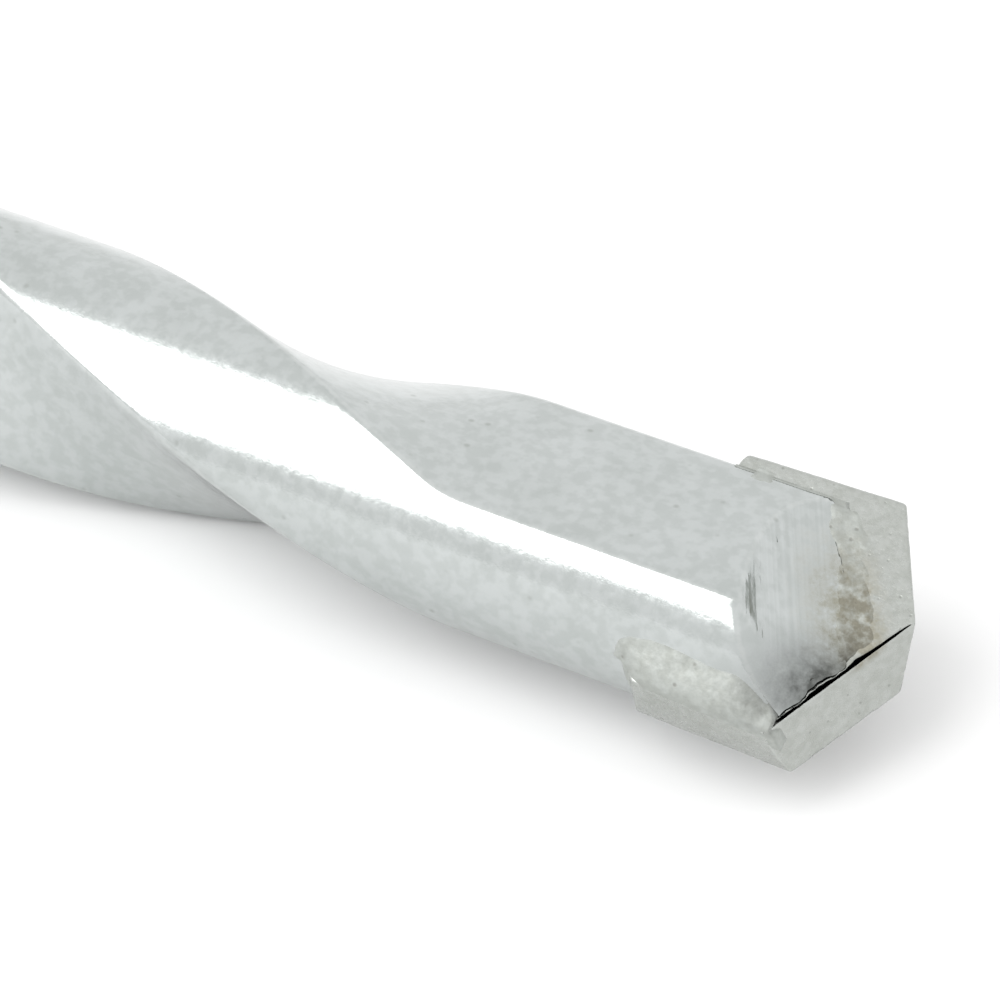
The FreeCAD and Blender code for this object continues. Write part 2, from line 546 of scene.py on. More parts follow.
@dataclass
class SteelBody:
    """The twisted steel body, with its plain shank and its ground and slotted head."""

    form: DrillForm
    chamfer: float = 0.8 * MM
    lead: float = 66.0 * MM
    twist_start: float = 1.8 * MM
    runout: float = 12.0 * MM
    edge_softness: float = 0.16 * MM
    chamfer_zone: float = 1.2 * MM
    braze_gap: float = 0.08 * MM
    crease: float = math.radians(14)
    spacing: float = 0.1 * MM
    edge_reach: float = 0.22 * MM
    edge_rounds: int = 9
    gash_reach: float = 0.6 * MM
    gash_rounds: int = 22
    edge_mesh: float = 0.13 * MM
    head_mesh: float = 0.34 * MM
    hollow_steps: int = 28
    face_columns: int = 12
    land_columns: int = 12
    cap_steps: int = 5

    def zones(self) -> list[tuple[str, float, int]]:
        """Lengths along the axis, from back to front, with how many steps each has."""
        form = self.form
        front = form.chisel_x + 1.0 * MM
        flutes = front - form.body_back_x
        return [
            ("Chamfer Zone", self.chamfer_zone, 10),
            ("Shank Zone", form.shank_length - self.chamfer_zone, 26),
            ("Shoulder Zone", form.shoulder_length, 8),
            ("Flute Zone", flutes, 316),
        ]

    def tree(self) -> bpy.types.NodeTree:
        """Build the rule of the fluted bar as a Geometry Nodes tree.

        Returns:
            The tree.
        """
        tree = bpy.data.node_groups.new("fluted_bar", "GeometryNodeTree")
        face = tree.interface
        face.new_socket("Geometry", in_out="OUTPUT", socket_type="NodeSocketGeometry")
        names = [
            "Back X", "Cap Steps", "Stations", "Columns", "Face Columns", "Land Columns",
            "Chamfer", "Shank Radius", "Body Radius", "Shoulder X", "Shoulder Length",
            "Core Half", "Crown", "Edge Softness", "Normal Angle", "Twist Rate",
            "Twist X", "Twist Start", "Runout X", "Runout Length",
        ] + [name for name, _, _ in self.zones()]
        whole = ("Stations", "Columns")
        for name in names:
            kind = "NodeSocketInt" if name in whole else "NodeSocketFloat"
            face.new_socket(name, in_out="INPUT", socket_type=kind)
        face.new_socket("Material", in_out="INPUT", socket_type="NodeSocketMaterial")
        w = Wiring(tree)
        given = w.node("NodeGroupInput").outputs
        grid = w.node("GeometryNodeMeshGrid")
        w.put(grid.inputs["Vertices X"], given["Stations"])
        w.put(grid.inputs["Vertices Y"], given["Columns"])
        index = w.node("GeometryNodeInputIndex").outputs[0]
        station = w.math("FLOOR", w.math("DIVIDE", w.math("ADD", index, 0.5), given["Columns"]))
        column = w.math("SUBTRACT", index, w.math("MULTIPLY", station, given["Columns"]))
        x = self.wire_stations(w, given, station)
        radius, angle = self.wire_section(w, given, column, x)
        cap_back = w.ramp(station, 0.0, given["Cap Steps"])
        last = w.math("SUBTRACT", given["Stations"], 1.0)
        cap_front = w.ramp(station, w.math("SUBTRACT", last, given["Cap Steps"]), last, 1.0, 0.0)
        radius = w.math("MULTIPLY", radius, w.math("MULTIPLY", cap_back, cap_front))
        joined = w.node("ShaderNodeCombineXYZ")
        w.put(joined.inputs[0], x)
        w.put(joined.inputs[1], w.math("MULTIPLY", radius, w.math("COSINE", angle)))
        w.put(joined.inputs[2], w.math("MULTIPLY", radius, w.math("SINE", angle)))
        placed = w.node("GeometryNodeSetPosition")
        w.put(placed.inputs["Geometry"], grid.outputs["Mesh"])
        w.put(placed.inputs["Position"], joined.outputs[0])
        merged = w.node("GeometryNodeMergeByDistance")
        w.put(merged.inputs["Geometry"], placed.outputs[0])
        merged.inputs["Distance"].default_value = 1e-6
        real = w.node("GeometryNodeRealizeInstances")
        w.put(real.inputs[0], merged.outputs[0])
        dressed = w.node("GeometryNodeSetMaterial")
        w.put(dressed.inputs["Geometry"], real.outputs[0])
        w.put(dressed.inputs["Material"], given["Material"])
        out = w.node("NodeGroupOutput")
        w.put(out.inputs[0], dressed.outputs[0])
        return tree

    def wire_stations(self, w: Wiring, given: bpy.types.bpy_prop_collection,
                      station: bpy.types.NodeSocket) -> bpy.types.NodeSocket:
        """Place each station along the axis.

        Args:
            w: The tree's wiring.
            given: The tree's inputs.
            station: The number of the station.

        Returns:
            Its place along the axis.
        """
        x = given["Back X"]
        start = given["Cap Steps"]
        for name, _, steps in self.zones():
            end = w.math("ADD", start, float(steps))
            x = w.math("ADD", x, w.ramp(station, start, end, 0.0, given[name]))
            start = end
        return x

    def wire_section(self, w: Wiring, given: bpy.types.bpy_prop_collection,
                     column: bpy.types.NodeSocket, x: bpy.types.NodeSocket,
                     ) -> tuple[bpy.types.NodeSocket, bpy.types.NodeSocket]:
        """Radius and angle of each column of the section at a station.

        Args:
            w: The tree's wiring.
            given: The tree's inputs.
            column: The number of the column.
            x: The station's place along the axis.

        Returns:
            The radius and the angle from +Y towards +Z.
        """
        # The bar before its flutes: chamfered shank, shoulder and body
        rise = w.math("SUBTRACT", x, given["Back X"])
        rim = w.math("SUBTRACT", given["Shank Radius"], given["Chamfer"])
        blank = w.math("SMOOTH_MIN", w.math("ADD", rim, rise), given["Shank Radius"], 0.2 * MM)
        shoulder_end = w.math("ADD", given["Shoulder X"], given["Shoulder Length"])
        slope = w.ramp(x, given["Shoulder X"], shoulder_end,
                       0.0, w.math("SUBTRACT", given["Shank Radius"], given["Body Radius"]), True)
        blank = w.math("SUBTRACT", blank, slope)
        # How far the face stands out where the flute runs out
        share = w.ramp(x, given["Runout X"], w.math("ADD", given["Runout X"], given["Runout Length"]),
                       1.0, 0.0)
        depth = w.math("SUBTRACT", given["Body Radius"], given["Core Half"])
        floor = w.math("ADD", given["Core Half"],
                       w.math("MULTIPLY", depth, w.math("MULTIPLY", share, share)))
        ratio = w.math("MINIMUM", w.math("DIVIDE", floor, given["Body Radius"]), 0.99)
        edge = w.math("ARCCOSINE", ratio)
        # Columns run over half a face, half a land, and so on round four quarters
        quarter_columns = w.math("ADD", given["Face Columns"], given["Land Columns"])
        quarter = w.math("FLOOR", w.math("DIVIDE", w.math("ADD", column, 0.5), quarter_columns))
        within = w.math("SUBTRACT", column, w.math("MULTIPLY", quarter, quarter_columns))
        odd = w.math("MODULO", quarter, 2.0)
        mirrored = w.math("SUBTRACT", quarter_columns, within)
        step = w.math("ADD", w.math("MULTIPLY", within, w.math("SUBTRACT", 1.0, odd)),
                      w.math("MULTIPLY", mirrored, odd))
        on_face = self.wire_crowd(w, w.ramp(step, 0.0, given["Face Columns"]))
        on_land = w.ramp(step, given["Face Columns"], quarter_columns)
        on_land = w.math("SUBTRACT", 1.0, self.wire_crowd(w, w.math("SUBTRACT", 1.0, on_land)))
        rest = w.math("SUBTRACT", math.pi / 2, edge)
        from_middle = w.math("ADD", w.math("MULTIPLY", on_face, edge),
                             w.math("MULTIPLY", on_land, rest))
        # The crowned face as seen from the axis
        tangent = w.math("TANGENT", w.math("MINIMUM", from_middle, 1.45))
        edge_tangent = w.math("TANGENT", w.math("MAXIMUM", edge, 0.05))
        side = w.math("DIVIDE", tangent, edge_tangent)
        bulge = w.math("MAXIMUM", w.math("SUBTRACT", 1.0, w.math("MULTIPLY", side, side)), -0.5)
        # Behind the run-out the face rises clear of the shank
        clear = w.math("MAXIMUM", w.math("SUBTRACT", given["Runout X"], x), 0.0)
        raised = w.math("ADD", floor, clear)
        height = w.math("ADD", raised, w.math("MULTIPLY", given["Crown"], bulge))
        reach = w.math("DIVIDE", height, w.math("COSINE", w.math("MINIMUM", from_middle, 1.45)))
        radius = w.math("SMOOTH_MIN", blank, reach, given["Edge Softness"])
        # Turn from the middle of the first face, and the twist of this station
        even_turn = w.math("ADD", w.math("MULTIPLY", quarter, math.pi / 2), from_middle)
        odd_turn = w.math("SUBTRACT", w.math("MULTIPLY", w.math("ADD", quarter, 1.0), math.pi / 2),
                          from_middle)
        turn = w.math("ADD", w.math("MULTIPLY", even_turn, w.math("SUBTRACT", 1.0, odd)),
                      w.math("MULTIPLY", odd_turn, odd))
        angle = w.math("SUBTRACT", w.math("ADD", given["Normal Angle"], turn),
                       self.wire_twist(w, given, x))
        return radius, angle

    def wire_crowd(self, w: Wiring, share: bpy.types.NodeSocket) -> bpy.types.NodeSocket:
        """Crowd a share from 0 to 1 towards its end."""
        bent = w.math("SINE", w.math("MULTIPLY", share, math.pi / 2))
        return w.math("MULTIPLY", w.math("ADD", share, bent), 0.5)

    def wire_twist(self, w: Wiring, given: bpy.types.bpy_prop_collection,
                   x: bpy.types.NodeSocket) -> bpy.types.NodeSocket:
        """Turn of the section behind the straight head, which sets in softly.

        Args:
            w: The tree's wiring.
            given: The tree's inputs.
            x: The station's place along the axis.

        Returns:
            The turn in radians.
        """
        back = w.math("MAXIMUM", w.math("SUBTRACT", given["Twist X"], x), 0.0)
        onset = w.math("MINIMUM", back, given["Twist Start"])
        slow = w.math("DIVIDE", w.math("MULTIPLY", onset, onset),
                      w.math("MULTIPLY", given["Twist Start"], 2.0))
        length = w.math("ADD", slow, w.math("SUBTRACT", back, onset))
        return w.math("MULTIPLY", length, given["Twist Rate"])

    def bar(self, material: bpy.types.Material) -> bpy.types.Object:
        """Make the fluted bar before its head is ground.

        Args:
            material: Its finish.

        Returns:
            The bar as a plain mesh object.
        """
        form, tree = self.form, self.tree()
        columns = 4 * (self.face_columns + self.land_columns) + 1
        stations = 2 * self.cap_steps + sum(steps for _, _, steps in self.zones()) + 1
        values = {
            "Back X": form.back_x, "Cap Steps": float(self.cap_steps),
            "Stations": stations, "Columns": columns,
            "Face Columns": float(self.face_columns), "Land Columns": float(self.land_columns),
            "Chamfer": self.chamfer, "Shank Radius": form.shank_radius,
            "Body Radius": form.body_radius, "Shoulder X": form.back_x + form.shank_length,
            "Shoulder Length": form.shoulder_length, "Core Half": form.core_half,
            "Crown": form.crown, "Edge Softness": self.edge_softness,
            "Normal Angle": form.flute_angle, "Twist Rate": 2 * math.pi / self.lead,
            "Twist X": form.head_x, "Twist Start": self.twist_start,
            "Runout X": form.body_back_x, "Runout Length": self.runout, "Material": material,
        }
        values.update({name: length for name, length, _ in self.zones()})
        carrier = new_object("fluted_bar", bpy.data.meshes.new("fluted_bar"))
        modifier = carrier.modifiers.new("fluted_bar", "NODES")
        modifier.node_group = tree
        for item in tree.interface.items_tree:
            if item.in_out == "INPUT":
                modifier[item.identifier] = values[item.name]
        return baked(carrier, "fluted_bar_mesh")

    def grinding_tools(self) -> list[bmesh.types.BMesh]:
        """Tools that grind the head: both gashes and both end bevels.

        Returns:
            One closed solid for each cut.
        """
        form = self.form
        reach = 2 * form.tip_radius
        lip = form.lip_slope * reach
        top = form.plate_half + reach
        root_x = form.root_x(0.0)
        hollow = []
        for step in range(self.hollow_steps + 1):
            turn = math.pi / 2 * step / self.hollow_steps
            hollow.append(form.point(root_x - form.gash_radius * math.sin(turn), 0.0,
                                     form.plate_half + form.gash_radius * (1 - math.cos(turn))))
        gash = hollow + [form.point(root_x - form.gash_radius, 0.0, top),
                         form.point(root_x + reach, 0.0, top),
                         form.point(root_x + reach, 0.0, form.plate_half)]
        gash_travel = form.point(-lip, reach, 0.0)
        heel_x = form.heel_x(0.0)
        bevel = [
            form.point(heel_x + form.bevel_slope * form.plate_half, 0.0, 0.0),
            form.point(heel_x + reach, 0.0, 0.0),
            form.point(heel_x + reach, 0.0, reach),
            form.point(heel_x - form.bevel_slope * (reach - form.plate_half), 0.0, reach),
        ]
        bevel_travel = form.point(lip, reach, 0.0)
        made = []
        for outline, travel in ((gash, gash_travel), (bevel, bevel_travel)):
            for turned in (False, True):
                solid = prism([point - travel for point in outline], travel * 2)
                if turned:
                    bmesh.ops.transform(solid, matrix=form.half_turn(), verts=solid.verts)
                made.append(solid)
        return made

    def slot_tools(self) -> list[bmesh.types.BMesh]:
        """Tools that cut the plate's slot, and the open crevice of each seam beside it.

        Returns:
            One closed solid for each cut.
        """
        form = self.form
        half, back = form.plate_half + self.braze_gap, form.plate_back_x - self.braze_gap
        width = form.tip_radius
        slot = [form.point(back, -width, -half), form.point(back, width, -half),
                form.point(back, width, half), form.point(back, -width, half)]
        made = [prism(slot, Vector((form.chisel_x + 4 * MM - back, 0.0, 0.0)))]
        return made + HeelCrevice(form).tools()

    def build(self, material: bpy.types.Material) -> bpy.types.Object:
        """Make the steel body: the bar, ground and slotted, with worn edges.

        Args:
            material: Its finish.

        Returns:
            The body.
        """
        bm = taken_up(cut_away(self.bar(material), self.grinding_tools()))
        bmesh.ops.remove_doubles(bm, verts=bm.verts, dist=2e-6)
        bmesh.ops.dissolve_degenerate(bm, dist=1e-6, edges=bm.edges)
        edges = sharp_edges(bm, self.crease)
        sharp = points_along(edges, self.spacing)
        head_x = self.form.head_x

        def longest(place: Vector) -> float:
            """Short near a sharp edge, longer over the head, and any length behind it."""
            if sharp.find(place)[2] < self.edge_reach * 1.3:
                return self.edge_mesh
            return self.head_mesh if place.x > head_x else math.inf

        refine(bm, longest)
        soften(bm, sharp, self.edge_reach, self.edge_rounds)
        soften(bm, self.gash_outline(edges), self.gash_reach, self.gash_rounds)
        self.roughen(bm)
        softened = new_object("softened_bar", mesh_from(bm, "softened_bar"))
        bm = taken_up(cut_away(softened, self.slot_tools()))
        bmesh.ops.remove_doubles(bm, verts=bm.verts, dist=1e-6)
        near = nearness(bm, sharp, self.edge_reach)
        mesh = mesh_from(bm, STEEL_NODE)
        mesh.materials.append(material)
        self.paint_masks(mesh, near)
        return new_object("twisted_steel_body", mesh)

    def gash_outline(self, edges: Sequence[tuple[Vector, Vector]]) -> kdtree.KDTree:
        """Points along the edges where the gashes leave the flutes and the lands.

        Args:
            edges: The ends of each sharp edge.

        Returns:
            The points in a search tree.
        """
        kept = []
        for start, end in edges:
            middle = self.form.in_plate_frame(np.array([(start + end) / 2]))
            off_plate = abs(middle[0, 2]) - self.form.plate_half
            if off_plate > 0.9 * MM and self.gash_nearness(middle)[0] > 0.5:
                kept.append((start, end))
        return points_along(kept, self.spacing)

    def gash_nearness(self, local: np.ndarray) -> np.ndarray:
        """How near points lie to the gashes' ground hollows.

        Args:
            local: Rows of x, across and forward.

        Returns:
            1 on a hollow and 0 away from it.
        """
        form = self.form
        found = np.zeros(len(local))
        for side in (1, -1):
            across, forward = local[:, 1] * side, local[:, 2] * side
            root = form.root_x(across)
            radial = np.hypot(local[:, 0] - root, forward - form.plate_half - form.gash_radius)
            on_hollow = bell(radial - form.gash_radius, 0.12 * MM)
            ahead = (local[:, 0] > root - form.gash_radius) & (forward > form.plate_half * 0.9)
            found = np.maximum(found, on_hollow * ahead)
        return found

    def roughen(self, bm: bmesh.types.BMesh) -> None:
        """Make the ground head uneven, most in the hollows of its gashes.

        Args:
            bm: The body.
        """
        form = self.form
        bm.normal_update()
        head_x = form.head_x
        verts = [vert for vert in bm.verts if vert.co.x > head_x]
        local = form.in_plate_frame(np.array([vert.co for vert in verts]))
        hollow = self.gash_nearness(local)
        for vert, in_hollow in zip(verts, hollow):
            place = vert.co / MM
            fade = min(1.0, (vert.co.x - head_x) / (4 * MM))
            lumps = noise.noise(place * 0.9) * 0.034 + noise.noise(place * 2.3) * 0.018
            even = noise.noise(place * 0.5) * 0.016
            vert.co += vert.normal * (lumps * in_hollow + even * fade) * MM

    def paint_masks(self, mesh: bpy.types.Mesh, near: np.ndarray) -> None:
        """Store where the steel is stained, ground, turned and worn at its edges, and where it is
        darkened beside the open crevice as soot and painted shade.

        Args:
            mesh: The body's mesh.
            near: For each vertex, how near a sharp edge it lies.
        """
        form = self.form
        local = form.in_plate_frame(places(mesh))
        stain, soot_and_shade = form.heat_marks(local)
        along_wheel = np.zeros(len(local))
        for side in (1, -1):
            across, forward = local[:, 1] * side, local[:, 2] * side
            root = form.root_x(across)
            arc = form.gash_radius * np.arctan2(root - local[:, 0],
                                                form.plate_half + form.gash_radius - forward)
            along_wheel = np.where(forward > 0, arc, along_wheel)
        paint(mesh, Attribute.STAIN, stain)
        # Soot and painted shade beside the open crevice
        paint(mesh, Attribute.SOOT_AND_SHADE, soot_and_shade)
        paint(mesh, Attribute.EDGE, near)
        turned = np.clip((form.body_back_x - local[:, 0]) / (1.0 * MM), 0, 1)
        paint(mesh, Attribute.MARKS, np.maximum(self.gash_nearness(local), 0.7 * turned))
        paint(mesh, Attribute.ALONG, np.where(turned > 0, local[:, 0], along_wheel) / MM)


def nearness(bm: bmesh.types.BMesh, sharp: kdtree.KDTree, reach: float) -> np.ndarray:
    """How near each vertex lies to a sharp edge.

    Args:
        bm: The solid.
        sharp: Points along the sharp edges.
        reach: How far from an edge it counts.

    Returns:
        For each vertex, 1 on a sharp edge and 0 beyond the reach.
    """
    gaps = np.array([sharp.find(vert.co)[2] for vert in bm.verts])
    return np.clip(1 - gaps / reach, 0, 1)


def cut_away(body: bpy.types.Object, solids: Sequence[bmesh.types.BMesh]) -> bpy.types.Object:
    """Cut solids out of an object.

    Args:
        body: The object, which is used up.
        solids: The tools, which are used up too.

    Returns:
        What is left, as a plain object.
    """
    tools = []
    for index, solid in enumerate(solids):
        tool = new_object(f"tool_{index}", mesh_from(solid, f"tool_{index}"))
        cut = body.modifiers.new(tool.name, "BOOLEAN")
        cut.operation, cut.solver, cut.object = "DIFFERENCE", "EXACT", tool
        tools.append(tool)
    left = baked(body, f"{body.name}_cut")
    for tool in tools:
        bpy.data.objects.remove(tool)
    return left


def taken_up(piece: bpy.types.Object) -> bmesh.types.BMesh:
    """Turn an object into a bmesh, and remove the object."""
    bm = bmesh.new()
    bm.from_mesh(piece.data)
    bpy.data.objects.remove(piece)
    return bm


def baked(carrier: bpy.types.Object, name: str) -> bpy.types.Object:
    """Turn an object with modifiers into a plain mesh object, and remove the first.

    Args:
        carrier: The object with its modifiers.
        name: The new mesh's name.

    Returns:
        The plain object.
    """
    bpy.context.view_layer.update()
    graph = bpy.context.evaluated_depsgraph_get()
    mesh = bpy.data.meshes.new_from_object(carrier.evaluated_get(graph))
    mesh.name = name
    bpy.data.objects.remove(carrier)
    return new_object(name, mesh)


@dataclass
class TipPlate:
    """The hard plate across the head, with its two lips and its chisel edge."""

    form: DrillForm
    corner_radius: float = 0.7 * MM
    side_steps: int = 6
    corner_steps: int = 8
    length_steps: int = 12
    crease: float = math.radians(20)
    spacing: float = 0.08 * MM
    edge_reach: float = 0.12 * MM
    edge_rounds: int = 6
    edge_mesh: float = 0.08 * MM
    face_mesh: float = 0.24 * MM

    def half_width(self, x: float, forward: float) -> float:
        """Half the plate's width at a place.

        Args:
            x: Place along the axis.
            forward: Height off the mid plane.

        Returns:
            The half width.
        """
        form = self.form
        radius = form.tip_radius - form.back_taper * (1 - form.side_share(x))
        round_side = math.sqrt(radius ** 2 - forward ** 2)
        behind = max(0.0, self.corner_radius - (x - form.plate_back_x))
        rounding = self.corner_radius - math.sqrt(max(0.0, self.corner_radius ** 2 - behind ** 2))
        return min(round_side, form.tip_radius - rounding)

    def build(self, material: bpy.types.Material) -> bpy.types.Object:
        """Make the plate: a tapered blank, two flanks ground on it, and worn edges.

        Args:
            material: Its finish.

        Returns:
            The plate.
        """
        form = self.form
        turns = [math.pi / 2 * step / self.corner_steps for step in range(self.corner_steps + 1)]
        stations = [form.plate_back_x + self.corner_radius * (1 - math.cos(turn)) for turn in turns]
        start = stations[-1]
        stations += [start + (form.apex_x + 0.5 * MM - start) * step / self.length_steps
                     for step in range(1, self.length_steps + 1)]
        heights = [form.plate_half * (2 * step / self.side_steps - 1)
                   for step in range(self.side_steps + 1)]
        bm = bmesh.new()
        rings = []
        for x in stations:
            right = [form.point(x, self.half_width(x, height), height) for height in heights]
            left = [form.point(x, -self.half_width(x, height), height) for height in heights]
            rings.append([bm.verts.new(point) for point in right + left[::-1]])
        close_rings(bm, rings)
        bmesh.ops.recalc_face_normals(bm, faces=bm.faces)
        self.grind_flanks(bm)
        sharp = points_along(sharp_edges(bm, self.crease), self.spacing)
        bmesh.ops.triangulate(bm, faces=bm.faces)
        whole = new_object("whole_plate", mesh_from(bm, "whole_plate"))
        bm = taken_up(cut_away(whole, HeelCrevice(form).tools()))

        def longest(place: Vector) -> float:
            """Short near a sharp edge and longer elsewhere."""
            near_edge = sharp.find(place)[2] < self.edge_reach * 1.4
            return self.edge_mesh if near_edge else self.face_mesh

        refine(bm, longest)
        near = soften(bm, sharp, self.edge_reach, self.edge_rounds)
        self.chip(bm, near)
        mesh = mesh_from(bm, PLATE_NODE)
        mesh.materials.append(material)
        self.paint_masks(mesh, near)
        return new_object("tip_plate", mesh)

    def grind_flanks(self, bm: bmesh.types.BMesh) -> None:
        """Cut both flanks, which meet in the chisel edge.

        Args:
            bm: The blank.
        """
        form = self.form
        for side in (1, -1):
            slopes = form.across * (-form.lip_slope * side) + form.forward * (form.relief_slope * side)
            normal = (Vector((1.0, 0.0, 0.0)) + slopes).normalized()
            start = form.point(form.apex_x - form.relief_slope * form.plate_half, 0.0, 0.0)
            geometry = list(bm.verts) + list(bm.edges) + list(bm.faces)
            cut = bmesh.ops.bisect_plane(bm, geom=geometry, plane_co=start, plane_no=normal,
                                         clear_outer=True)
            rim = [item for item in cut["geom_cut"] if isinstance(item, bmesh.types.BMEdge)]
            bmesh.ops.holes_fill(bm, edges=rim)
        bmesh.ops.recalc_face_normals(bm, faces=bm.faces)

    def chip(self, bm: bmesh.types.BMesh, near: np.ndarray) -> None:
        """Nibble the plate's edges unevenly, as its brittle lips wear.

        Args:
            bm: The plate.
            near: For each vertex, how near a sharp edge it lies.
        """
        bm.normal_update()
        for vert, share in zip(bm.verts, near):
            place = vert.co / MM
            bite = max(0.0, noise.noise(place * 3.1) - 0.15) * 0.05 * share
            even = noise.noise(place * 0.8) * 0.010
            vert.co += vert.normal * (even - bite) * MM
            vert.co.y = min(max(vert.co.y, CAD_BOX[0].y), CAD_BOX[1].y)

    def paint_masks(self, mesh: bpy.types.Mesh, near: np.ndarray) -> None:
        """Store where the plate is stained and worn at its edges.

        Args:
            mesh: The plate's mesh.
            near: For each vertex, how near a sharp edge it lies.
        """
        form = self.form
        local = form.in_plate_frame(places(mesh))
        stain = np.zeros(len(local))
        for side in (1, -1):
            across, forward = local[:, 1] * side, local[:, 2] * side
            ahead = local[:, 0] - form.root_x(across)
            on_face = bell(forward - form.plate_half, 0.2 * MM)
            middle = bell(across + 0.2 * MM, 2.6 * MM)
            stain = np.maximum(stain, bell(ahead, 0.7 * MM) * on_face * middle)
        paint(mesh, Attribute.STAIN, stain)
        paint(mesh, Attribute.SOOT_AND_SHADE, np.zeros(len(local)))
        paint(mesh, Attribute.EDGE, near)


@dataclass
class HeelCrevice:
    """The open slit behind each heel edge, where the braze has drawn back; its walls are painted near
    black as shade.
    """

    form: DrillForm
    rim: float = 0.045 * MM
    depth: float = 0.35 * MM
    outer_mm: float = -4.95
    length_mm: float = 5.6
    steps: int = 72
    upper_seed: float = 3.0
    lower_seed: float = 40.0

    def width(self, across: float, turned: bool) -> float:
        """How wide the slit is at a place across the plate.

        Args:
            across: The place.
            turned: True for the slit on the plate's lower face.

        Returns:
            The width.
        """
        seed = self.lower_seed if turned else self.upper_seed
        share = min(1.0, max(0.0, (across + 4.9 * MM) / (5.55 * MM)))
        swell = math.sin(math.pi * share) ** 0.6
        rough = noise.noise(Vector((across / MM * 1.3, seed, 0.0)))
        fine = noise.noise(Vector((across / MM * 4.5, seed + 7.0, 0.0)))
        return (0.035 + 0.125 * swell * (1 + 0.75 * rough) + 0.03 * fine * swell) * MM

    def tool(self, turned: bool) -> bmesh.types.BMesh:
        """Solid that cuts the slit.

        Args:
            turned: True for the slit on the plate's lower face.

        Returns:
            The closed solid, with every face marked as part of the crevice, whose walls are painted
            near black as shade.
        """
        form = self.form
        bm = bmesh.new()
        rings = []
        for step in range(self.steps + 1):
            across = (self.outer_mm + self.length_mm * step / self.steps) * MM
            width = self.width(across, turned)
            near, far = self.rim, self.rim + width
            depth = 0.06 * MM + self.depth * min(1.0, max(0.0, across / MM + 4.8))
            # Distances behind the heel edge, and heights off the plate's face
            section = [(near + 0.3 * width, -depth), (near, 0.013 * MM),
                       (near - 0.03 * MM, 1.2 * MM), (far + 0.1 * MM, 1.2 * MM),
                       (far, 0.027 * MM), (near + 0.65 * width, -depth)]
            rings.append([
                bm.verts.new(form.point(form.heel_x(across) - behind * math.hypot(1, form.lip_slope),
                                        across, form.plate_half + up)) for behind, up in section])
        close_rings(bm, rings)
        bmesh.ops.triangulate(bm, faces=bm.faces)
        bmesh.ops.recalc_face_normals(bm, faces=bm.faces)
        # The mark makes the crevice walls it leaves painted near black as shade
        marked = bm.faces.layers.float.new(Attribute.CREVICE_SHADE.value)
        for face in bm.faces:
            face[marked] = 1.0
        if turned:
            bmesh.ops.transform(bm, matrix=form.half_turn(), verts=bm.verts)
        return bm

    def far_x(self, across: float, turned: bool) -> float:
        """Place along the axis of the slit's far wall.

        Args:
            across: Place across the plate.
            turned: True for the slit on the plate's lower face.

        Returns:
            The place.
        """
        behind = self.rim + self.width(across, turned)
        return self.form.heel_x(across) - behind * math.hypot(1, self.form.lip_slope)

    def tools(self) -> list[bmesh.types.BMesh]:
        """Both slits' tools."""
        return [self.tool(turned) for turned in (False, True)]


def slab(upper: Sequence[Sequence[Vector]],
         lower: Sequence[Sequence[Vector]]) -> bmesh.types.BMesh:
    """Closed solid between two grids of points with as many rows and columns.

    Args:
        upper: Rows of points of the upper face.
        lower: Rows of points of the lower face.

    Returns:
        The solid.
    """
    bm = bmesh.new()
    grids = [[[bm.verts.new(point) for point in row] for row in grid] for grid in (upper, lower)]
    rows, columns = len(upper), len(upper[0])
    for grid in grids:
        for row, after in zip(grid, grid[1:]):
            for column in range(columns - 1):
                bm.faces.new((row[column], row[column + 1], after[column + 1], after[column]))
    rim = [(0, column) for column in range(columns)]
    rim += [(row, columns - 1) for row in range(1, rows)]
    rim += [(rows - 1, column) for column in range(columns - 2, -1, -1)]
    rim += [(row, 0) for row in range(rows - 2, 0, -1)]
    for (row, column), (next_row, next_column) in zip(rim, rim[1:] + rim[:1]):
        bm.faces.new((grids[0][row][column], grids[0][next_row][next_column],
                      grids[1][next_row][next_column], grids[1][row][column]))
    bmesh.ops.recalc_face_normals(bm, faces=bm.faces)
    return bm


def eased(share: float) -> float:
    """Soft step from 0 to 1, held at the ends."""
    share = min(1.0, max(0.0, share))
    return share * share * (3 - 2 * share)


